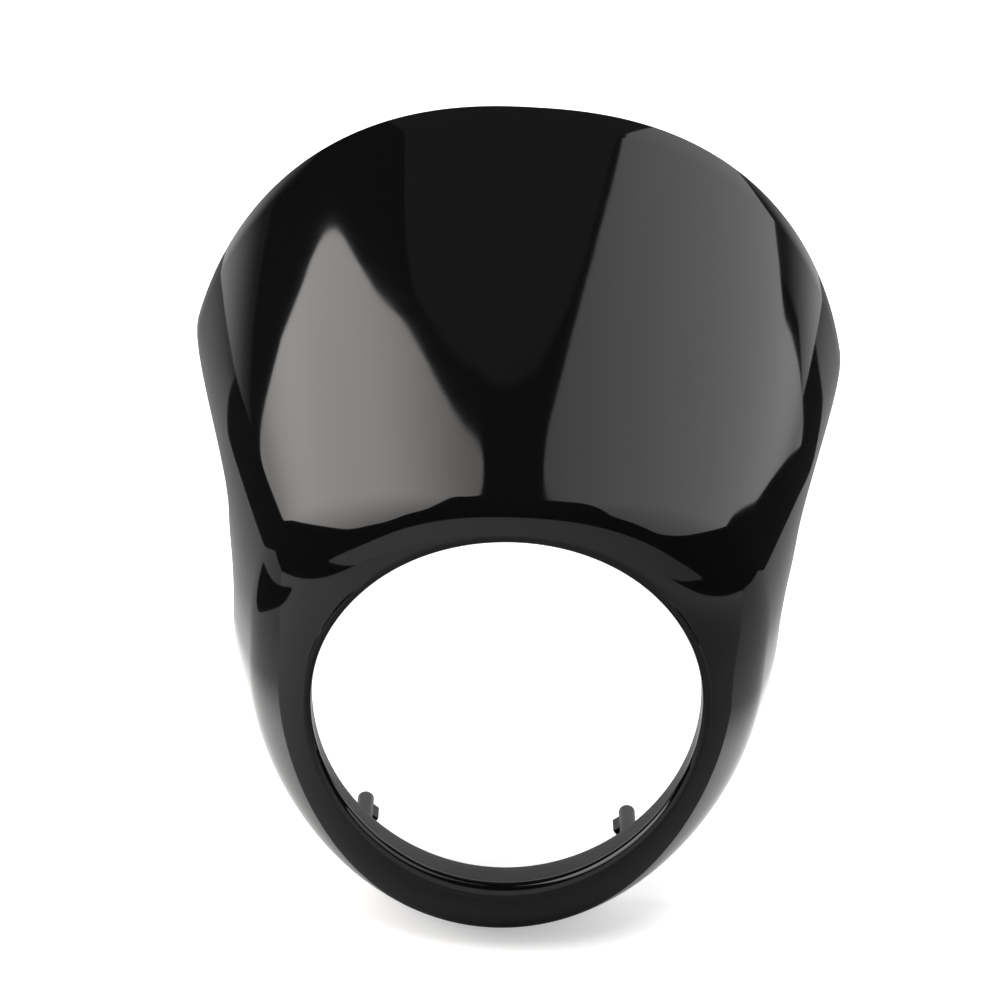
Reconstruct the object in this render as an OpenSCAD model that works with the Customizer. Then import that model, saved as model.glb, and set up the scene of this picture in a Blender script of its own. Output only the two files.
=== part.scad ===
// Headlight cowl: one moulded shell round a headlight opening, with a blade leaning back above it.
// X is to the right, Y to the rear and Z up. The finished part has its origin midway between the four
// screw bosses, on the plane on which they end. The functions below measure y from the front plane.

/* [Opening] */
// Radius of the headlight opening
opening_r = 82.5; // [78:0.5:87]
// Radius of the rolled lip at the top and bottom of the opening
lip_r = 5; // [3.5:0.5:7]
// Radius of the lip at the sides of the opening
lip_side_r = 2.5; // [1.5:0.5:4]
// How far the collar reaches back at the top and bottom of the opening
collar_depth = 17; // [13:0.5:28]
// How much further back the collar ends at the sides
collar_sweep = 6.5; // [4:0.5:10]

/* [Front ring] */
// Radius of the front's curve seen from above, which sweeps the sides back
sweep_r = 400; // [300:5:700]
// Width of the ring beside the opening
side_land = 11; // [9:0.5:26]
// Width of the ring below the opening
bottom_land = 26; // [20:0.5:40]
// Distance from the opening up to the foot of the blade
top_land = 12.5; // [11:0.5:26]
// Radius of the edge between the front and the blade
edge_top_r = 7; // [4:0.5:10]
// Radius of the edge between the front and the side walls
edge_side_r = 28; // [16:1:40]
// Radius of the edge between the front and the bottom wall
edge_low_r = 24; // [16:1:36]
// Squareness of the lower housing's outline, where 2 is an ellipse
low_square = 2; // [2:0.05:3]

/* [Blade and walls] */
// How far the middle of the blade runs back
blade_depth = 170; // [130:1:200]
// How far the corners of the blade run back
corner_depth = 175; // [130:1:205]
// Run back of the blade for each millimetre that it rises
blade_lean = 1.45; // [1:0.01:1.8]
// Squareness of the blade's arch, where 2 is an ellipse
arch_square = 2.35; // [2:0.05:3]
// Widening of the side walls for each millimetre of depth, where they leave the front
side_spread = 0.47; // [0.3:0.01:0.6]
// Radius of the side walls' curve seen from above, at the opening's centre and below
low_belly_r = 280; // [220:5:600]
// Radius of the side walls' curve seen from above, at the blade
high_belly_r = 660; // [440:10:1200]
// Height at which the walls reach that curve
belly_z = 100; // [60:1:140]
// Widening of the bottom wall for each millimetre of depth, where it leaves the front
bottom_spread = 0.5; // [0.1:0.01:0.6]
// Radius of the bottom wall's curve seen from the side
bottom_belly_r = 90; // [50:5:300]
// Height at which the arch springs from the walls, at the blade's rear edge
spring_z = 35; // [20:1:80]
// How soon the walls reach that height, where 1 is evenly and less is sooner
spring_early = 0.3; // [0.25:0.05:1]
// Depth of the side walls at the height of the opening's centre
side_depth = 90; // [75:1:110]
// Depth of the bottom wall
bottom_depth = 60; // [50:1:90]
// Height at which the rear edge starts to sweep back to the blade
rise_start_z = 48; // [10:1:70]
// Height at which the rear edge reaches the blade's corners
rise_end_z = 102; // [80:1:140]

/* [Moulding] */
// Thickness of the shell
wall = 3; // [2:0.1:4]
// Half the distance between the screw bosses, across
boss_x = 58; // [56:0.5:62]
// Half the distance between the screw bosses, up and down
boss_z = 74; // [72:0.5:80]
// Radius of a screw boss
boss_r = 3.6; // [3:0.1:5]
// Radius of the hole in a screw boss
screw_r = 1.6; // [1:0.1:2.2]
// Depth of the hole in a screw boss
screw_depth = 16; // [6:1:24]
// Depth of the plane on which the bosses end
boss_end = 54; // [46:1:64]
// Thickness of a boss's rib
rib_t = 2.4; // [1.5:0.1:4]
// How far the rib's top lies ahead of the boss's end
rib_drop = 3; // [1:0.5:10]
// Depth at which a rib first meets the wall
rib_foot = 20; // [18:1:24]
// Depth at which a rib leaves the wall
rib_heel = 32; // [26:1:40]
// How far a lug stands out of its boss
lug_out = 3.2; // [1:0.1:5]
// Length of a lug along its boss
lug_l = 9; // [4:0.5:14]
// Thickness of a lug
lug_t = 2.4; // [1.5:0.1:4]
// How far a lug lies ahead of the boss's end
lug_drop = 2.5; // [0:0.5:10]

/* [Hidden] */

// Half planes from the top of the opening to its bottom, and points of a section
half_steps = 44;
outer_rows = 20;
lip_steps = 4;
// Share of the rows' spacing that is even, while the rest grows towards the rear
row_even = 0.65;
// How far round its arc the lip leaves the bore
lip_start = 16;
// The housing's outline at the front plane
ring_half_w = opening_r + side_land;
ring_bottom = opening_r + bottom_land;
ring_top = opening_r + top_land;
// Place in each half plane from which the surface is sought, and the search's limits
seek_share = 0.41;
seek_r = opening_r - top_land;
seek_y = seek_share * blade_depth;
seek_far = 2 * blade_depth;
root_angle_min = -20;
rim_angle_max = 150;
halvings = 26;
probe = 0.05;
// How far the lip reaches into the bore before the bore is cut
bore_stock = 0.6;
bore_margin = 20;
// How deep a boss, a rib or a lug is rooted in what carries it
root = wall / 3;
// Distance of a boss from the opening's axis, and the angles of all four from straight up
boss_pr = norm([boss_x, boss_z]);
boss_t = atan2(boss_x, boss_z);
boss_angles = [-boss_t, boss_t, 180 - boss_t, boss_t - 180];
opening_fn = 88;
boss_fn = 32;
screw_fn = 24;

function blend(a, b, k) = a + (b - a) * k;
function smooth_step(k) = let (c = min(1, max(0, k))) c * c * (3 - 2 * c);
function squircle(a, b, n) = pow(pow(abs(a), n) + pow(abs(b), n), 1 / n);
// How much of the direction from the axis to (x, z) points up or down
function upright(x, z) = z / max(norm([x, z]), probe);

// Half width, top and springing height of the housing's outline at depth y
function belly(z) = blend(1 / low_belly_r, 1 / high_belly_r, smooth_step(z / belly_z));
function half_w(y, z) = ring_half_w + side_spread * y - pow(max(0, y), 2) / 2 * belly(z);
function top_z(y) = ring_top + y / blade_lean;
function arch_z(y) = spring_z * pow(max(0, y) / blade_depth, spring_early);
// Bottom of the outline, and the depth up to which it falls
function falling(y) = min(max(0, y), bottom_spread * bottom_belly_r);
function bottom(y) =
    ring_bottom + bottom_spread * min(y, falling(y)) - pow(falling(y), 2) / (2 * bottom_belly_r);

// Signed distance, about, to the walls and the blade: below 0 inside
function walls(x, y, z) =
    let (
        a = half_w(y, z),
        z0 = arch_z(y),
        above = z > z0,
        h = above ? top_z(y) - z0 : bottom(y),
        n = above ? arch_square : low_square,
        u = abs(x) / a,
        v = (above ? z - z0 : max(0, -z)) / h,
        rho = max(squircle(u, v, n), probe / a),
        steep = norm([pow(u / rho, n - 1) / a, pow(v / rho, n - 1) / h]),
        lift = pow(max(0, upright(x, z)), 2),
        drop = pow(min(0, upright(x, z)), 2),
        side_slope = side_spread - max(0, y) * belly(z),
        low_slope = bottom_spread - falling(y) / bottom_belly_r,
        slope = side_slope * (1 - lift - drop) + lift / blade_lean + drop * low_slope
    ) (rho - 1) / steep / norm([1, slope]);

// Signed distance, about, to the swept front
function front(x, y) = (x * x / (2 * sweep_r) - y) / norm([1, x / sweep_r]);

// Both together, with a round edge between them
function rounded_both(a, b, k) = min(-k, max(a, b)) + norm([max(k + a, 0), max(k + b, 0)]);
function edge_r(x, z) = blend(edge_side_r, z > 0 ? edge_top_r : edge_low_r, pow(upright(x, z), 2));
function field(x, y, z) = rounded_both(front(x, y), walls(x, y, z), edge_r(x, z));

// Depth of the rear edge at height z
function low_rear_y(z) = side_depth + (side_depth - bottom_depth) / ring_bottom * min(z, 0);
function blade_rear_y(z) =
    blend(corner_depth, blade_depth, max(0, (z - rise_end_z) / (top_z(blade_depth) - rise_end_z)));
function rear_y(z) =
    blend(low_rear_y(z), blade_rear_y(z), smooth_step((z - rise_start_z) / (rise_end_z - rise_start_z)));

// A point is [r, y] in the half plane at angle t from the top, and place() puts it in space
function place(t, p) = [p[0] * sin(t), p[1], p[0] * cos(t)];
function field_at(t, p) = field(p[0] * sin(t), p[1], p[0] * cos(t));

// Surface point met from the seeking place in direction psi, where 0 is forward and 90 outward
function along(psi, d) = [seek_r + d * sin(psi), seek_y - d * cos(psi)];
function seek(t, psi, near = 0, far = seek_far, n = halvings) =
    let (mid = (near + far) / 2)
    n == 0 ? along(psi, mid)
    : field_at(t, along(psi, mid)) < 0 ? seek(t, psi, mid, far, n - 1)
    : seek(t, psi, near, mid, n - 1);

// Depth at which a ball of radius k, with its centre at radius r, touches the surface from inside
function ball_y(t, r, k, inner = seek_y, outer = -bore_margin, n = halvings) =
    let (m = (inner + outer) / 2)
    n == 0 ? m
    : field_at(t, [r, m]) < -k ? ball_y(t, r, k, m, outer, n - 1)
    : ball_y(t, r, k, inner, m, n - 1);

// Direction in which the surface meets the rear edge
function rim_angle(t, a, b = rim_angle_max, n = halvings) =
    let (m = (a + b) / 2, p = seek(t, m))
    n == 0 ? m
    : p[1] < rear_y(p[0] * cos(t)) ? rim_angle(t, m, b, n - 1)
    : rim_angle(t, a, m, n - 1);

// Outward direction of the surface in the half plane at angle t
function outward(t, p) =
    let (
        v = [
            field_at(t, [p[0] + probe, p[1]]) - field_at(t, [p[0] - probe, p[1]]),
            field_at(t, [p[0], p[1] + probe]) - field_at(t, [p[0], p[1] - probe])
        ]
    ) v / norm(v);

// Inner face behind the outside, and the direction in which it meets the collar
function inside(t, psi) = let (p = seek(t, psi)) p - wall * outward(t, p);
function root_angle(t, b, a = root_angle_min, n = halvings) =
    let (m = (a + b) / 2)
    n == 0 ? m
    : inside(t, m)[0] < opening_r + wall ? root_angle(t, b, m, n - 1)
    : root_angle(t, m, a, n - 1);

// Directions of the rows from a to b, which spread towards b
function row_angle(a, b, u) = blend(a, b, row_even * u + (1 - row_even) * u * u);

// Closed section of the shell in the half plane at angle t: collar, lip, outside, rim and inside
function section(t) =
    let (
        side = pow(sin(t), 2),
        k = blend(lip_r, lip_side_r, side),
        ball = [opening_r + k, ball_y(t, opening_r + k, k)],
        out = outward(t, ball),
        turn = atan2(out[0], -out[1]) + 90,
        lip = [
            for (j = [0 : lip_steps - 1])
                let (w = blend(lip_start, turn, j / lip_steps)) ball - k * [cos(w), sin(w)]
        ],
        contact = ball + k * out,
        a = atan2(contact[0] - seek_r, seek_y - contact[1]),
        b = rim_angle(t, a),
        c = root_angle(t, b),
        collar_end = collar_depth + collar_sweep * side
    ) concat(
        [[opening_r - bore_stock, collar_end], [opening_r - bore_stock, ball[1]]],
        lip,
        [for (j = [0 : outer_rows]) seek(t, row_angle(a, b, j / outer_rows))],
        [for (j = [outer_rows : -1 : 0]) inside(t, row_angle(c, b, j / outer_rows))],
        [[opening_r + wall, collar_end]]
    );

// The sections joined into one skin all the way round, the left half mirroring the right one
module shell() {
    half = [for (i = [0 : half_steps]) section(180 * i / half_steps)];
    around = 2 * half_steps;
    count = len(half[0]);
    points = [
        for (i = [0 : around - 1])
            let (k = i <= half_steps ? i : around - i, t = 180 * i / half_steps)
            for (p = half[k]) place(t, p)
    ];
    faces = [
        for (i = [0 : around - 1], j = [0 : count - 1], s = [0, 1])
            let (
                a = i * count + j,
                b = i * count + (j + 1) % count,
                c = ((i + 1) % around) * count + (j + 1) % count,
                d = ((i + 1) % around) * count + j
            ) s == 0 ? [a, b, c] : [a, c, d]
    ];
    polyhedron(points, faces, convexity = 8);
}

// Depth of the outside at radius r, and its radius at depth y, both in the half plane at angle t
function depth_at(t, r, near = 0, far = seek_y, n = halvings) =
    let (m = (near + far) / 2)
    n == 0 ? m
    : field_at(t, [r, m]) > 0 ? depth_at(t, r, m, far, n - 1)
    : depth_at(t, r, near, m, n - 1);
function radius_at(t, y, near = seek_r, far = seek_far, n = halvings) =
    let (m = (near + far) / 2)
    n == 0 ? m
    : field_at(t, [m, y]) < 0 ? radius_at(t, y, m, far, n - 1)
    : radius_at(t, y, near, m, n - 1);

// Puts a shape made along Z at a boss's place, pointing to the rear from depth y
module at_boss(t, y) rotate([0, t, 0]) translate([0, y, boss_pr]) rotate([-90, 0, 0]) children();

// Flat plate in the half plane at angle t, with its outline in [r, y]
module radial_plate(t, thickness, outline)
    rotate([0, t - 90, 0]) translate([0, 0, -thickness / 2])
        linear_extrude(thickness) polygon(outline);

// Screw boss on the back of the front, with a rib out to the side wall
module boss(t) {
    start = depth_at(t, boss_pr + boss_r) + root;
    at_boss(t, start) cylinder(r = boss_r, h = boss_end - start, $fn = boss_fn);
    radial_plate(t, rib_t, [
        [boss_pr, start + wall],
        [radius_at(t, rib_foot) - root, rib_foot],
        [radius_at(t, rib_heel) - root, rib_heel],
        [boss_pr, boss_end - rib_drop]
    ]);
}

// Small lug on the side of a lower boss that faces the middle
module lug(side)
    rotate([0, side * (180 - boss_t), 0])
        translate([side * (boss_r + (lug_out - root) / 2), boss_end - lug_drop - lug_l / 2, boss_pr])
            cube([lug_out + root, lug_l, lug_t], center = true);

module cowl_shell() {
    color("#0c0c0e")
    translate([0, -boss_end, 0])
    difference() {
        union() {
            shell();
            for (t = boss_angles) boss(t);
            for (side = [-1, 1]) lug(side);
        }
        translate([0, -bore_margin, 0]) rotate([-90, 0, 0])
            cylinder(r = opening_r, h = bore_margin + boss_end, $fn = opening_fn);
        for (t = boss_angles)
            at_boss(t, boss_end - screw_depth) cylinder(r = screw_r, h = screw_depth + root, $fn = screw_fn);
    }
}

cowl_shell();
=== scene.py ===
"""Looks of the headlight cowl: one moulded shell in gloss black plastic on a pale studio floor.

The shell is worked out in millimetres from the same sizes as the solid: X to the right, Y to the rear of
the opening's front plane and Z up from the opening's centre. It is then put into the frame, which is in
metres and starts midway between the screw bosses.
"""
import math

import bmesh
import bpy
import numpy as np
from mathutils import Matrix, Vector


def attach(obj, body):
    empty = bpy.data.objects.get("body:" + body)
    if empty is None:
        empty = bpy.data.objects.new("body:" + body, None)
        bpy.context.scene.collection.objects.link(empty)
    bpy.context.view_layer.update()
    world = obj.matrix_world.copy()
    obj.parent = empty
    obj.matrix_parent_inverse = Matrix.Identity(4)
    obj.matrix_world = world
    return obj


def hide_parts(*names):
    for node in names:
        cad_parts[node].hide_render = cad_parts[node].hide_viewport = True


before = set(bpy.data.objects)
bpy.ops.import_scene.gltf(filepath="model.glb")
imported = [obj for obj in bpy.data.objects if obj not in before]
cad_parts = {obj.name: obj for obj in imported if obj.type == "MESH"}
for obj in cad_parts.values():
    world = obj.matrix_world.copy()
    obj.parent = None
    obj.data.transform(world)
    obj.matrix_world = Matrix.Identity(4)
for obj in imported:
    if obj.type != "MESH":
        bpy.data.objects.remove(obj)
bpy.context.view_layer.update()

MM = 0.001
WALL_NODE = "cowl_shell"

# The opening and its collar
OPENING_R = 82.5
LIP_R = 5.0
LIP_SIDE_R = 2.5
COLLAR_DEPTH = 17.0
COLLAR_SWEEP = 6.5

# The front ring
SWEEP_R = 400.0
SIDE_LAND = 11.0
BOTTOM_LAND = 26.0
TOP_LAND = 12.5
EDGE_TOP_R = 7.0
EDGE_SIDE_R = 28.0
EDGE_LOW_R = 24.0
LOW_SQUARE = 2.0
RING_HALF_W = OPENING_R + SIDE_LAND
RING_BOTTOM = OPENING_R + BOTTOM_LAND
RING_TOP = OPENING_R + TOP_LAND

# The blade and the walls
BLADE_DEPTH = 170.0
CORNER_DEPTH = 175.0
BLADE_LEAN = 1.45
ARCH_SQUARE = 2.35
SIDE_SPREAD = 0.47
LOW_BELLY_R = 280.0
HIGH_BELLY_R = 660.0
BELLY_Z = 100.0
BOTTOM_SPREAD = 0.5
BOTTOM_BELLY_R = 90.0
SPRING_Z = 35.0
SPRING_EARLY = 0.3
SIDE_DEPTH = 90.0
BOTTOM_DEPTH = 60.0
RISE_START_Z = 48.0
RISE_END_Z = 102.0

# The moulding
WALL = 3.0
BOSS_X = 58.0
BOSS_Z = 74.0
BOSS_R = 3.6
SCREW_R = 1.6
SCREW_DEPTH = 16.0
BOSS_END = 54.0
RIB_T = 2.4
RIB_DROP = 3.0
RIB_FOOT = 20.0
RIB_HEEL = 32.0
LUG_OUT = 3.2
LUG_L = 9.0
LUG_T = 2.4
LUG_DROP = 2.5

# How finely the shell is worked out
HALF_PLANES = 352
OUTER_ROWS = 120
INNER_ROWS = 84
LIP_ROWS = 14
RIM_ROWS = 8
CORNER_ROWS = 4
BORE_ROWS = 3
COLLAR_ROWS = 5
ROW_EVEN = 0.65
SEEK_R = OPENING_R - TOP_LAND
SEEK_Y = 0.41 * BLADE_DEPTH
SEEK_FAR = 2.0 * BLADE_DEPTH
HALVINGS = 34
PROBE = 0.05
# Sizes of the small edges: the free rim, the collar's end, the root between collar and front, and the bosses
RIM_EDGE = 1.0
COLLAR_EDGE = 0.5
ROOT_EDGE = 1.0
BOSS_EDGE = 0.4
BOSS_SIDES = 40
SHARP_ANGLE = math.radians(38.0)


def blend(a, b, k):
    return a + (b - a) * k


def smooth_step(k):
    c = np.clip(k, 0.0, 1.0)
    return c * c * (3.0 - 2.0 * c)


def upright(x, z):
    """How much of the direction from the axis to (x, z) points up or down."""
    return z / np.maximum(np.hypot(x, z), PROBE)


def walls(x, y, z):
    """Signed distance, about, to the walls and the blade: below 0 inside."""
    deep = np.maximum(y, 0.0)
    belly = blend(1.0 / LOW_BELLY_R, 1.0 / HIGH_BELLY_R, smooth_step(z / BELLY_Z))
    half_w = RING_HALF_W + SIDE_SPREAD * y - deep ** 2 / 2.0 * belly
    spring = SPRING_Z * (deep / BLADE_DEPTH) ** SPRING_EARLY
    rise = RING_TOP + y / BLADE_LEAN - spring
    falling = np.minimum(deep, BOTTOM_SPREAD * BOTTOM_BELLY_R)
    fall = RING_BOTTOM + BOTTOM_SPREAD * np.minimum(y, falling) - falling ** 2 / (2.0 * BOTTOM_BELLY_R)
    above = z > spring
    u = np.abs(x) / half_w
    height = np.where(above, rise, fall)
    v = np.where(above, z - spring, np.maximum(0.0, -z)) / height
    n = np.where(above, ARCH_SQUARE, LOW_SQUARE)
    rho = np.maximum((u ** n + v ** n) ** (1.0 / n), PROBE / half_w)
    steep = np.hypot((u / rho) ** (n - 1.0) / half_w, (v / rho) ** (n - 1.0) / height)
    lift = np.maximum(0.0, upright(x, z)) ** 2
    drop = np.minimum(0.0, upright(x, z)) ** 2
    side_slope = SIDE_SPREAD - deep * belly
    low_slope = BOTTOM_SPREAD - falling / BOTTOM_BELLY_R
    slope = side_slope * (1.0 - lift - drop) + lift / BLADE_LEAN + drop * low_slope
    return (rho - 1.0) / steep / np.hypot(1.0, slope)


def field(x, y, z):
    """Signed distance, about, to the whole outside: swept front and walls, with a round edge between."""
    front = (x * x / (2.0 * SWEEP_R) - y) / np.hypot(1.0, x / SWEEP_R)
    side = walls(x, y, z)
    k = blend(EDGE_SIDE_R, np.where(z > 0.0, EDGE_TOP_R, EDGE_LOW_R), upright(x, z) ** 2)
    past_front = np.maximum(k + front, 0.0)
    past_side = np.maximum(k + side, 0.0)
    return np.minimum(-k, np.maximum(front, side)) + np.hypot(past_front, past_side)


def rear_y(z):
    """Depth of the rear edge at height z."""
    low = SIDE_DEPTH + (SIDE_DEPTH - BOTTOM_DEPTH) / RING_BOTTOM * np.minimum(z, 0.0)
    top = RING_TOP + BLADE_DEPTH / BLADE_LEAN
    blade = blend(CORNER_DEPTH, BLADE_DEPTH, np.maximum(0.0, (z - RISE_END_Z) / (top - RISE_END_Z)))
    return blend(low, blade, smooth_step((z - RISE_START_Z) / (RISE_END_Z - RISE_START_Z)))


class HalfPlanes:
    """Half planes through the opening's axis at angles t from the top. Points in them are r and y."""

    def __init__(self, t):
        self.sin = np.sin(t)[:, None]
        self.cos = np.cos(t)[:, None]

    def field(self, r, y):
        return field(r * self.sin, y, r * self.cos)

    def halve(self, low, high, still_low):
        low = np.broadcast_to(low, self.sin.shape).astype(float)
        high = np.broadcast_to(high, self.sin.shape).astype(float)
        for _ in range(HALVINGS):
            mid = (low + high) / 2.0
            keep = still_low(mid)
            low = np.where(keep, mid, low)
            high = np.where(keep, high, mid)
        return (low + high) / 2.0

    def seek(self, psi):
        """Surface point met from the seeking place in direction psi, where 0 is forward."""
        near = np.zeros_like(psi)
        far = np.full_like(psi, SEEK_FAR)
        for _ in range(HALVINGS):
            mid = (near + far) / 2.0
            inside = self.field(SEEK_R + mid * np.sin(psi), SEEK_Y - mid * np.cos(psi)) < 0.0
            near = np.where(inside, mid, near)
            far = np.where(inside, far, mid)
        d = (near + far) / 2.0
        return SEEK_R + d * np.sin(psi), SEEK_Y - d * np.cos(psi)

    def outward(self, r, y):
        """Outward direction of the surface within the half plane."""
        dr = self.field(r + PROBE, y) - self.field(r - PROBE, y)
        dy = self.field(r, y + PROBE) - self.field(r, y - PROBE)
        size = np.hypot(dr, dy)
        return dr / size, dy / size

    def inside(self, psi):
        """Point of the inner face behind the outer one met in direction psi."""
        r, y = self.seek(psi)
        nr, ny = self.outward(r, y)
        return r - WALL * nr, y - WALL * ny


def rows(*parts):
    """Joins arrays of r and y, each one column per point, into one section."""
    return np.hstack([p[0] for p in parts]), np.hstack([p[1] for p in parts])


def straight(a, b, count):
    """Points from a up to, but not including, b."""
    k = np.arange(count)[None, :] / count
    return blend(a[0], b[0], k), blend(a[1], b[1], k)


def rounded(before, corner, after, radius, count):
    """Points round a corner between its two neighbours, on a curve that starts radius away on either side."""
    def toward(target):
        dr, dy = target[0] - corner[0], target[1] - corner[1]
        size = np.maximum(np.hypot(dr, dy), 1e-9)
        reach = np.minimum(radius, size / 2.0)
        return corner[0] + dr / size * reach, corner[1] + dy / size * reach
    a, b = toward(before), toward(after)
    k = np.linspace(0.0, 1.0, count + 1)[None, :]
    return [(1 - k) ** 2 * a[i] + 2 * k * (1 - k) * corner[i] + k * k * b[i] for i in (0, 1)]


def shell_grid():
    """The shell's closed sections: points by half plane and row, and the row where each part starts."""
    t = np.arange(HALF_PLANES) * 2.0 * math.pi / HALF_PLANES
    planes = HalfPlanes(t)
    side = planes.sin ** 2
    lip_r = blend(LIP_R, LIP_SIDE_R, side)
    # A ball of the lip's radius rolls between the bore and the outside
    ball_r = OPENING_R + lip_r
    ball_y = planes.halve(SEEK_Y, -20.0, lambda y: planes.field(ball_r, y) < -lip_r)
    nr, ny = planes.outward(ball_r, ball_y)
    end_turn = np.arctan2(nr, -ny) + math.pi / 2.0
    turn = end_turn * np.arange(LIP_ROWS)[None, :] / LIP_ROWS
    lip = (ball_r - lip_r * np.cos(turn), ball_y - lip_r * np.sin(turn))
    contact = (ball_r + lip_r * nr, ball_y + lip_r * ny)
    start = np.arctan2(contact[0] - SEEK_R, SEEK_Y - contact[1])

    def short_of_rim(psi):
        r, y = planes.seek(psi)
        return y < rear_y(r * planes.cos) - RIM_EDGE

    rim = planes.halve(start, math.radians(150.0), short_of_rim)
    u = np.linspace(0.0, 1.0, OUTER_ROWS)[None, :]
    outer = planes.seek(blend(start, rim, ROW_EVEN * u + (1 - ROW_EVEN) * u * u))
    in_start = planes.halve(-0.3, rim, lambda psi: planes.inside(psi)[0] < OPENING_R + WALL)
    w = np.linspace(1.0, 0.0, INNER_ROWS)[None, :]
    inner = planes.inside(blend(in_start, rim, ROW_EVEN * w + (1 - ROW_EVEN) * w * w))
    # The free rim is a half round over the wall's thickness
    a = (outer[0][:, -1:], outer[1][:, -1:])
    b = (inner[0][:, :1], inner[1][:, :1])
    mid = ((a[0] + b[0]) / 2.0, (a[1] + b[1]) / 2.0)
    across = (a[0] - mid[0], a[1] - mid[1])
    size = np.hypot(*across)
    along = (-across[1] / size, across[0] / size)
    phi = math.pi * np.arange(1, RIM_ROWS)[None, :] / RIM_ROWS
    reach = RIM_EDGE * np.sin(phi)
    rim_points = [mid[i] + across[i] * np.cos(phi) + along[i] * reach for i in (0, 1)]
    # The collar, with its two edges at the end and its root in the front
    end = COLLAR_DEPTH + COLLAR_SWEEP * side
    bore_r = np.full_like(end, OPENING_R)
    back_r = np.full_like(end, OPENING_R + WALL)
    root = (inner[0][:, -1:], inner[1][:, -1:])
    before_root = (inner[0][:, -3:-2], inner[1][:, -3:-2])
    root_round = rounded(before_root, root, (back_r, end), ROOT_EDGE, CORNER_ROWS)
    back_round = rounded((back_r, root[1]), (back_r, end), (bore_r, end), COLLAR_EDGE, CORNER_ROWS)
    bore_round = rounded((back_r, end), (bore_r, end), (bore_r, ball_y), COLLAR_EDGE, CORNER_ROWS)
    root_end = [c[:, -1:] for c in root_round]
    back_start = [c[:, :1] for c in back_round]
    bore_end = [c[:, -1:] for c in bore_round]
    collar_back = straight(root_end, back_start, COLLAR_ROWS)
    bore = straight(bore_end, (bore_r, ball_y), BORE_ROWS)
    inner = (inner[0][:, :-2], inner[1][:, :-2])
    parts = {
        "lip": lip,
        "outer": outer,
        "rim": rim_points,
        "inner": inner,
        "root": [c[:, :-1] for c in root_round],
        "collar": collar_back,
        "back": back_round,
        "bore": rows(bore_round, (bore[0][:, 1:], bore[1][:, 1:])),
    }
    r, y = rows(*parts.values())
    starts = {}
    count = 0
    for name, part in parts.items():
        starts[name] = count
        count += part[0].shape[1]
    return np.stack([r * planes.sin, y, r * planes.cos], -1), starts


def to_frame(points):
    return (np.asarray(points, float) - (0.0, BOSS_END, 0.0)) * MM


def shell_mesh():
    """The shell as one closed mesh. The outside and the lip get the first material, the rest the second."""
    grid, starts = shell_grid()
    planes, count = grid.shape[:2]
    corner = np.arange(planes * count).reshape(planes, count)
    ahead = np.roll(corner, -1, axis=0)
    quads = np.stack([corner, np.roll(corner, -1, 1), np.roll(ahead, -1, 1), ahead], -1).reshape(-1, 4)
    mesh = bpy.data.meshes.new("cowl")
    mesh.from_pydata(to_frame(grid.reshape(-1, 3)).tolist(), [], quads.tolist())
    row = np.tile(np.arange(count), planes)
    glossy = row < starts["inner"]
    mesh.polygons.foreach_set("material_index", np.where(glossy, 0, 1).astype(np.int32))
    mesh.polygons.foreach_set("use_smooth", np.ones(len(quads), bool))
    mesh.update()
    return mesh


# The plastic: its refraction, and the size in mm of the patches over which its gloss varies
PLASTIC_IOR = 1.5
GLOSS_PATCH = 14.0
GLOSS_DETAIL = 4.0
PORES_DETAIL = 3.0
SWELL_DETAIL = 1.0


def node_input(node, name, value):
    node.inputs[name].default_value = value


def plastic(name, colour, shine, roughness, spread, grain, wave):
    """Moulded plastic whose gloss varies a little. Grain and wave are each a length and a depth in mm."""
    material = bpy.data.materials.new(name)
    material.use_nodes = True
    nodes = material.node_tree.nodes
    links = material.node_tree.links
    shader = nodes["Principled BSDF"]
    node_input(shader, "Base Color", (*colour, 1.0))
    node_input(shader, "IOR", PLASTIC_IOR)
    node_input(shader, "Specular IOR Level", shine)
    place = nodes.new("ShaderNodeTexCoord")

    def noise(size_mm, detail):
        texture = nodes.new("ShaderNodeTexNoise")
        node_input(texture, "Scale", 1.0 / (size_mm * MM))
        node_input(texture, "Detail", detail)
        links.new(place.outputs["Object"], texture.inputs["Vector"])
        return texture.outputs["Fac"]

    gloss = nodes.new("ShaderNodeMapRange")
    node_input(gloss, "To Min", roughness - spread)
    node_input(gloss, "To Max", roughness + spread)
    links.new(noise(GLOSS_PATCH, GLOSS_DETAIL), gloss.inputs["Value"])
    links.new(gloss.outputs["Result"], shader.inputs["Roughness"])
    swell = nodes.new("ShaderNodeBump")
    node_input(swell, "Distance", wave[1] * MM)
    links.new(noise(wave[0], SWELL_DETAIL), swell.inputs["Height"])
    pores = nodes.new("ShaderNodeBump")
    node_input(pores, "Distance", grain[1] * MM)
    links.new(noise(grain[0], PORES_DETAIL), pores.inputs["Height"])
    links.new(swell.outputs["Normal"], pores.inputs["Normal"])
    links.new(pores.outputs["Normal"], shader.inputs["Normal"])
    return material


def add_object(name, mesh):
    thing = bpy.data.objects.new(name, mesh)
    bpy.context.scene.collection.objects.link(thing)
    return thing


def half_plane_point(t, r, y):
    return np.array([r * math.sin(t), y, r * math.cos(t)])


def search(low, high, still_low):
    for _ in range(HALVINGS):
        mid = (low + high) / 2.0
        if still_low(mid):
            low = mid
        else:
            high = mid
    return (low + high) / 2.0


def depth_at(t, r):
    return search(SEEK_Y, 0.0, lambda y: field(r * math.sin(t), y, r * math.cos(t)) < 0.0)


def radius_at(t, y):
    return search(SEEK_R, SEEK_FAR, lambda r: field(r * math.sin(t), y, r * math.cos(t)) < 0.0)


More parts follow.
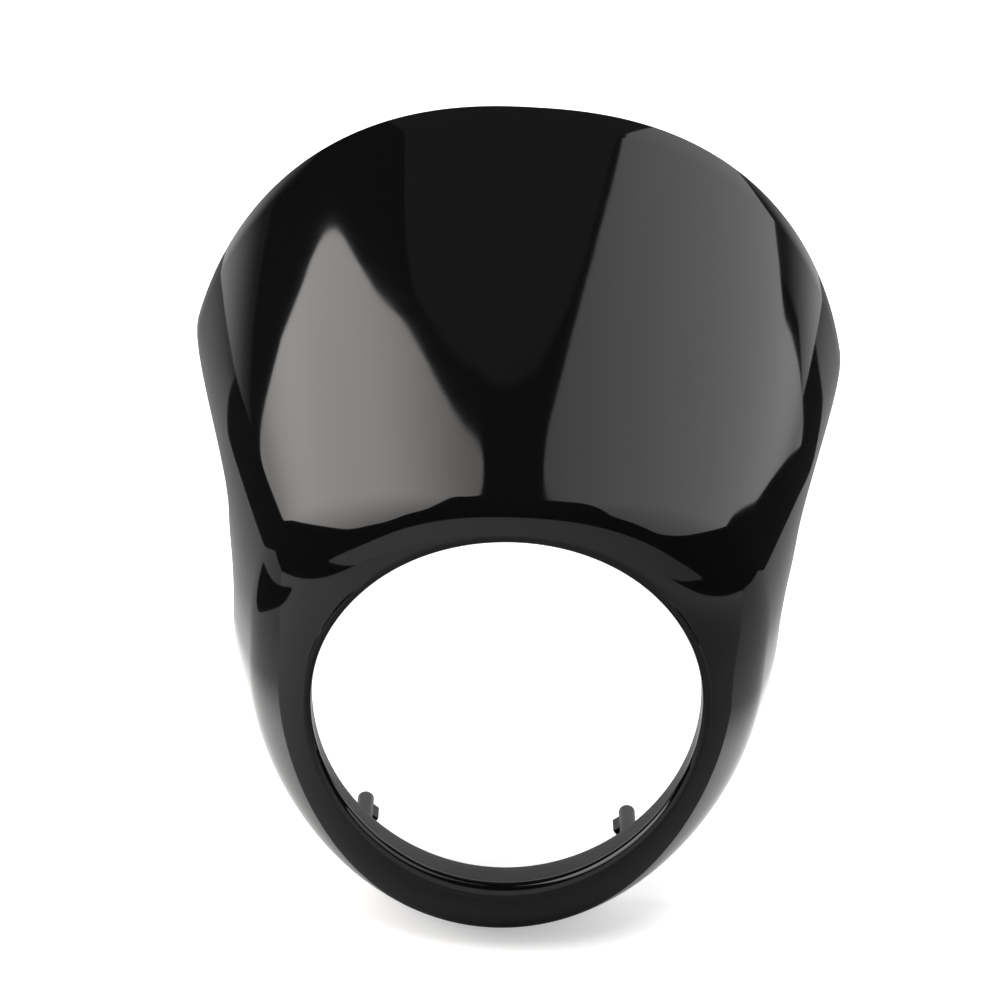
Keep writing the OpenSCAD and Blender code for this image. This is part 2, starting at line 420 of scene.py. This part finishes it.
def prism(bm, outline, lift):
    """Closed prism between an outline of points and its copy moved by lift."""
    low = [bm.verts.new(p) for p in outline]
    high = [bm.verts.new(p + lift) for p in outline]
    count = len(outline)
    bm.faces.new(low[::-1])
    bm.faces.new(high)
    for i in range(count):
        bm.faces.new((low[i], low[(i + 1) % count], high[(i + 1) % count], high[i]))


def boss_mesh(t, lug_side):
    """One screw boss with its blind hole, its rib to the side wall and, where lug_side isn't 0, its lug."""
    outward = half_plane_point(t, 1.0, 0.0)
    around = np.array([math.cos(t), 0.0, -math.sin(t)])
    rearward = np.array([0.0, 1.0, 0.0])
    boss_pr = math.hypot(BOSS_X, BOSS_Z)
    centre = outward * boss_pr
    start = depth_at(t, boss_pr + BOSS_R) + WALL / 3.0
    rim = BOSS_EDGE * 0.3
    mouth = BOSS_EDGE * 0.6
    profile = [
        (BOSS_R, start), (BOSS_R, BOSS_END - BOSS_EDGE), (BOSS_R - rim, BOSS_END - rim),
        (BOSS_R - BOSS_EDGE, BOSS_END), (SCREW_R + mouth, BOSS_END), (SCREW_R, BOSS_END - mouth),
        (SCREW_R, BOSS_END - SCREW_DEPTH),
    ]
    bm = bmesh.new()
    rings = []
    for r, y in profile:
        ring = []
        for i in range(BOSS_SIDES):
            turn = 2.0 * math.pi * i / BOSS_SIDES
            spoke = outward * math.cos(turn) + around * math.sin(turn)
            ring.append(bm.verts.new(centre + spoke * r + rearward * y))
        rings.append(ring)
    for a, b in zip(rings, rings[1:]):
        for i in range(BOSS_SIDES):
            after = (i + 1) % BOSS_SIDES
            bm.faces.new((a[i], a[after], b[after], b[i]))
    bm.faces.new(rings[0][::-1])
    bm.faces.new(rings[-1])
    half = around * RIB_T / 2.0
    outline = [
        half_plane_point(t, boss_pr, start + WALL),
        half_plane_point(t, radius_at(t, RIB_FOOT) - WALL / 3.0, RIB_FOOT),
        half_plane_point(t, radius_at(t, RIB_HEEL) - WALL / 3.0, RIB_HEEL),
        half_plane_point(t, boss_pr, BOSS_END - RIB_DROP),
    ]
    parts = [bm]
    rib = bmesh.new()
    prism(rib, [Vector(p - half) for p in outline], Vector(half * 2.0))
    parts.append(rib)
    if lug_side:
        lug = bmesh.new()
        far = BOSS_R + LUG_OUT
        near = BOSS_R - WALL / 3.0
        top = BOSS_END - LUG_DROP
        thick = outward * LUG_T / 2.0
        flat = [
            centre + around * lug_side * near + rearward * (top - LUG_L),
            centre + around * lug_side * far + rearward * (top - LUG_L),
            centre + around * lug_side * far + rearward * top,
            centre + around * lug_side * near + rearward * top,
        ]
        prism(lug, [Vector(p - thick) for p in flat], Vector(thick * 2.0))
        parts.append(lug)
    meshes = []
    for part in parts:
        bmesh.ops.recalc_face_normals(part, faces=part.faces)
        for v in part.verts:
            v.co = Vector(to_frame(np.array(v.co)))
        mesh = bpy.data.meshes.new("boss")
        part.to_mesh(mesh)
        part.free()
        meshes.append(mesh)
    return meshes


def unite(thing, meshes):
    """Unites the shell with its bosses, ribs and lugs into one closed mesh."""
    for mesh in meshes:
        mesh.materials.append(thing.data.materials[0])
        mesh.materials.append(thing.data.materials[1])
        mesh.polygons.foreach_set("material_index", np.ones(len(mesh.polygons), np.int32))
        tool = add_object("tool", mesh)
        step = thing.modifiers.new("unite", "BOOLEAN")
        step.operation = "UNION"
        step.solver = "MANIFOLD"
        step.object = tool
        bpy.context.view_layer.update()
        made = bpy.data.meshes.new_from_object(thing.evaluated_get(bpy.context.evaluated_depsgraph_get()))
        thing.modifiers.clear()
        thing.data = made
        bpy.data.objects.remove(tool)


def make_cowl():
    gloss = plastic(
        "gloss_black_plastic", (0.0012, 0.0012, 0.0014), shine=0.5, roughness=0.045, spread=0.012,
        grain=(1.1, 0.0004), wave=(26.0, 0.02),
    )
    satin = plastic(
        "moulded_black_plastic", (0.003, 0.003, 0.0034), shine=0.25, roughness=0.46, spread=0.05,
        grain=(0.5, 0.012), wave=(30.0, 0.01),
    )
    mesh = shell_mesh()
    mesh.materials.append(gloss)
    mesh.materials.append(satin)
    cowl = add_object("cowl", mesh)
    boss_t = math.atan2(BOSS_X, BOSS_Z)
    tools = []
    for side in (-1, 1):
        tools += boss_mesh(side * boss_t, 0)
        tools += boss_mesh(side * (math.pi - boss_t), side)
    unite(cowl, tools)
    cowl.data.set_sharp_from_angle(angle=SHARP_ANGLE)
    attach(cowl, "root")
    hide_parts(WALL_NODE)
    return cowl


# The camera, as it stood for the photograph: in front, above and a little to the left of the opening's axis
CAMERA_DISTANCE = 1300.0
CAMERA_PITCH = math.radians(26.31)
CAMERA_YAW = math.radians(1.66)
CAMERA_ROLL = math.radians(3.87)
CAMERA_ASIDE = 2.61
CAMERA_ABOVE = -92.85
FOCAL_PIXELS = 3110.25
FRAME_PIXELS = 1001
SENSOR_MM = 36.0


def make_camera():
    yawed_x = np.array([math.cos(CAMERA_YAW), -math.sin(CAMERA_YAW), 0.0])
    yawed_y = np.array([math.sin(CAMERA_YAW), math.cos(CAMERA_YAW), 0.0])
    up = np.array([0.0, 0.0, 1.0])
    looks = yawed_y * math.cos(CAMERA_PITCH) - up * math.sin(CAMERA_PITCH)
    tilted = up * math.cos(CAMERA_PITCH) + yawed_y * math.sin(CAMERA_PITCH)
    right = yawed_x * math.cos(CAMERA_ROLL) + tilted * math.sin(CAMERA_ROLL)
    above = tilted * math.cos(CAMERA_ROLL) - yawed_x * math.sin(CAMERA_ROLL)
    stands = -CAMERA_ASIDE * right - CAMERA_ABOVE * above - CAMERA_DISTANCE * looks
    data = bpy.data.cameras.new("camera")
    data.sensor_width = SENSOR_MM
    data.lens = FOCAL_PIXELS / FRAME_PIXELS * SENSOR_MM
    camera = add_object("camera", data)
    turn = Matrix((right, above, -looks)).transposed()
    camera.matrix_world = Matrix.Translation(Vector(to_frame(stands))) @ turn.to_4x4()
    bpy.context.scene.camera = camera


# The studio, in metres: the floor under the object, the two softboxes and the cards round it
FLOOR_Z = -0.1198
FLOOR_HALF = 9.0
PAPER_LIFT = 0.0001
LEFT_BOX_FROM = (-75, 40, 1.2)
RIGHT_BOX_FROM = (75, 45, 1.2)
FRONT_CARD_Y = -0.95
BACK_CARD_Y = 1.6
CEILING_Z = 1.5
LAMP_Z = 3.0
LAMP_SIZE = 3.0
LAMP_POWER = 160.0
DIM = 0.03
WARM_WHITE = (1.0, 0.97, 0.94)
WHITE = (1.0, 1.0, 1.0)

# Corners across and up on their planes. The softboxes and cards show in the gloss as the photograph has them
LEFT_BOX = (
    (-1.42, -1.07), (-0.95, -0.49), (-0.68, -0.10), (-0.55, 0.18), (-0.30, 0.41), (0.01, 0.90), (0.13, 1.20),
    (0.18, 0.80), (0.50, 0.46), (0.70, 0.15), (0.70, -0.33), (0.45, -0.57), (0.01, -0.63), (-0.71, -0.76),
)
RIGHT_BOX = (
    (-0.14, 1.02), (-0.11, 0.64), (-0.56, 0.08), (-0.54, -0.46), (-0.27, -0.53), (0.60, -0.53), (1.10, -0.93),
    (3.60, -2.42), (1.19, -0.56), (1.00, -0.22), (1.30, 0.50), (0.36, 0.73), (0.29, 0.69),
)
FRONT_CARD = (
    (-1.60, -0.15), (-0.86, 0.13), (-0.30, 0.55), (0.05, 0.73), (0.32, 0.64), (1.10, 0.14), (1.80, -0.15),
)
BACK_CARD = ((-2.85, -0.12), (2.20, -0.12), (2.40, 0.30), (3.40, 1.60), (-2.85, 1.60))
CEILING = (
    (-0.66, 0.30), (-0.66, 0.08), (-0.40, -0.03), (0.00, -0.10), (0.22, 0.00), (0.44, 0.20), (1.20, 1.00),
    (1.20, 2.40), (-1.20, 2.40), (-0.80, 0.70),
)
# The parts of the floor that are paper, as the gloss shows them, and a dark spot on them
FRONT_PAPER = ((-0.74, -1.30), (0.70, -1.30), (0.79, -0.02), (-0.69, -0.02))
REAR_PAPER = (
    (-0.69, -0.02), (0.79, -0.02), (0.86, 0.31), (0.34, 0.43), (0.75, 0.75), (3.00, 2.50), (-3.70, 2.50),
    (-1.05, 0.80), (-0.50, 0.45), (-0.95, 0.17),
)
DARK_SPOT = ((-0.57, 0.22), (-0.53, 0.03), (-0.57, -0.13), (-0.44, -0.05), (-0.38, 0.05), (-0.31, 0.15))
SHARP = 0.0001
BOX_ROUNDING = 0.12
PAPER_ROUNDING = 0.05
ROUNDING_STEPS = 6


def facing(azimuth, elevation, distance):
    """Middle and two directions, across and up, of a plane that faces the object from the given side."""
    a, e = math.radians(azimuth), math.radians(elevation)
    away = Vector((math.sin(a) * math.cos(e), -math.cos(a) * math.cos(e), math.sin(e)))
    across = Vector((0.0, 0.0, 1.0)).cross(away).normalized()
    return away * distance, across, away.cross(across)


def level(z):
    """The level plane at height z."""
    return Vector((0.0, 0.0, z)), Vector((1.0, 0.0, 0.0)), Vector((0.0, 1.0, 0.0))


def standing(y):
    """The upright plane across the studio at depth y."""
    return Vector((0.0, y, 0.0)), Vector((1.0, 0.0, 0.0)), Vector((0.0, 0.0, 1.0))


def rounded_outline(corners, reach):
    """Outline whose corners are curves that start up to reach away from them."""
    outline = []
    count = len(corners)
    for i, corner in enumerate(corners):
        here = Vector(corner)
        before, after = Vector(corners[i - 1]), Vector(corners[(i + 1) % count])
        a = here + (before - here) * min(0.5, reach / (before - here).length)
        b = here + (after - here) * min(0.5, reach / (after - here).length)
        for step in range(ROUNDING_STEPS + 1):
            k = step / ROUNDING_STEPS
            outline.append(a * (1 - k) ** 2 + here * 2 * k * (1 - k) + b * k * k)
    return outline


def sheet(name, plane, corners, rounding, material):
    """A flat sheet with the given corners on a plane, which the camera itself doesn't see."""
    middle, across, up = plane
    outline = rounded_outline(corners, rounding)
    mesh = bpy.data.meshes.new(name)
    mesh.from_pydata([(u, v, 0.0) for u, v in outline], [], [tuple(range(len(outline)))])
    mesh.materials.append(material)
    thing = add_object(name, mesh)
    turn = Matrix((across, up, across.cross(up))).transposed()
    thing.matrix_world = Matrix.Translation(middle) @ turn.to_4x4()
    thing.visible_camera = False
    thing.visible_shadow = False
    return thing


def by_distance(material, middle, near, far, socket):
    """Lets a value change with the distance from a place. Near and far are each a distance and a value."""
    nodes = material.node_tree.nodes
    links = material.node_tree.links
    place = nodes.new("ShaderNodeTexCoord")
    distance = nodes.new("ShaderNodeVectorMath")
    distance.operation = "DISTANCE"
    distance.inputs[1].default_value = (*middle, 0.0)
    links.new(place.outputs["Object"], distance.inputs[0])
    change = nodes.new("ShaderNodeMapRange")
    change.interpolation_type = "SMOOTHSTEP"
    node_input(change, "From Min", near[0])
    node_input(change, "To Min", near[1])
    node_input(change, "From Max", far[0])
    node_input(change, "To Max", far[1])
    links.new(distance.outputs["Value"], change.inputs["Value"])
    links.new(change.outputs["Result"], socket)


def glow(name, colour, middle, near, far):
    """Light that fades with the distance from the middle of a sheet."""
    material = bpy.data.materials.new(name)
    material.use_nodes = True
    nodes = material.node_tree.nodes
    nodes.clear()
    light = nodes.new("ShaderNodeEmission")
    node_input(light, "Color", (*colour, 1.0))
    by_distance(material, middle, near, far, light.inputs["Strength"])
    out = nodes.new("ShaderNodeOutputMaterial")
    material.node_tree.links.new(light.outputs["Emission"], out.inputs["Surface"])
    return material


def matt(name, whiteness, glowing):
    """Matt paper, which may also glow a little as if lit from all round."""
    material = bpy.data.materials.new(name)
    material.use_nodes = True
    shader = material.node_tree.nodes["Principled BSDF"]
    node_input(shader, "Base Color", (whiteness, whiteness, whiteness, 1.0))
    node_input(shader, "Roughness", 0.9)
    node_input(shader, "Specular IOR Level", 0.0)
    node_input(shader, "Emission Color", (1.0, 1.0, 1.0, 1.0))
    node_input(shader, "Emission Strength", glowing)
    return material


def paper_painted_light_and_shade(middle, near, far):
    """Matt paper whose whiteness changes with the distance from a place on it: painted light and shade, the
    whiteness standing in for how brightly the floor is lit there.
    """
    material = matt("paper_painted_light_and_shade", near[1], 0.0)
    shader = material.node_tree.nodes["Principled BSDF"]
    by_distance(material, middle, near, far, shader.inputs["Base Color"])
    return material


def make_floor():
    """The pale floor, which the gloss doesn't show, and on it the paper that only the gloss shows, whose
    whiteness holds painted light and shade.
    """
    s = FLOOR_HALF
    square = ((-s, -s), (s, -s), (s, s), (-s, s))
    floor = sheet("floor", level(FLOOR_Z), square, SHARP, matt("pale_floor", 0.74, 0.42))
    floor.visible_camera = True
    floor.visible_shadow = True
    floor.visible_glossy = False
    on_floor = level(FLOOR_Z + PAPER_LIFT)
    on_paper = level(FLOOR_Z + 2 * PAPER_LIFT)
    # Painted shadow: the front paper is darkest near a place just in front of the object and to its right,
    # where the object's shadow falls.
    front = paper_painted_light_and_shade((0.2, -0.08), (0.15, 0.12), (0.65, 0.28))
    # Painted light: the rear paper is whitest close round the object and darker further off, as the floor's
    # light falls off.
    rear = paper_painted_light_and_shade((0.0, 0.0), (0.2, 0.9), (0.34, 0.2))
    for part in (
        sheet("front_paper", on_floor, FRONT_PAPER, SHARP, front),
        sheet("rear_paper", on_floor, REAR_PAPER, PAPER_ROUNDING, rear),
        sheet("dark_spot", on_paper, DARK_SPOT, PAPER_ROUNDING, matt("dark_spot", 0.01, 0.0)),
    ):
        part.visible_diffuse = False


def make_lights():
    left = glow("left_light", WARM_WHITE, (-0.35, 0.0), (0.25, 5.3), (1.3, 2.0))
    right = glow("right_light", WHITE, (1.0, -0.2), (0.3, 2.1), (2.2, 0.8))
    front = glow("front_light", WHITE, (-1.0, 0.0), (0.2, 0.8), (2.5, 0.45))
    back = glow("back_light", WHITE, (0.0, 0.0), (1.3, 1.5), (2.9, 0.1))
    above = glow("ceiling_light", WHITE, (0.0, 0.0), (0.5, 0.13), (2.5, 0.1))
    sheet("left_softbox", facing(*LEFT_BOX_FROM), LEFT_BOX, BOX_ROUNDING, left)
    sheet("right_softbox", facing(*RIGHT_BOX_FROM), RIGHT_BOX, BOX_ROUNDING, right)
    sheet("front_card", standing(FRONT_CARD_Y), FRONT_CARD, BOX_ROUNDING, front)
    sheet("back_card", standing(BACK_CARD_Y), BACK_CARD, SHARP, back)
    sheet("ceiling", level(CEILING_Z), CEILING, BOX_ROUNDING, above)
    fill = bpy.data.lights.new("overhead", "AREA")
    fill.shape = "DISK"
    fill.size = LAMP_SIZE
    fill.energy = LAMP_POWER
    lamp = add_object("overhead", fill)
    lamp.location = (0.0, 0.0, LAMP_Z)
    lamp.visible_glossy = False
    world = bpy.data.worlds.new("studio")
    bpy.context.scene.world = world
    world.use_nodes = True
    backdrop = world.node_tree.nodes["Background"]
    node_input(backdrop, "Color", (*WHITE, 1.0))
    node_input(backdrop, "Strength", DIM)


make_camera()
make_cowl()
make_floor()
make_lights()
bpy.context.scene.view_settings.view_transform = "Standard"
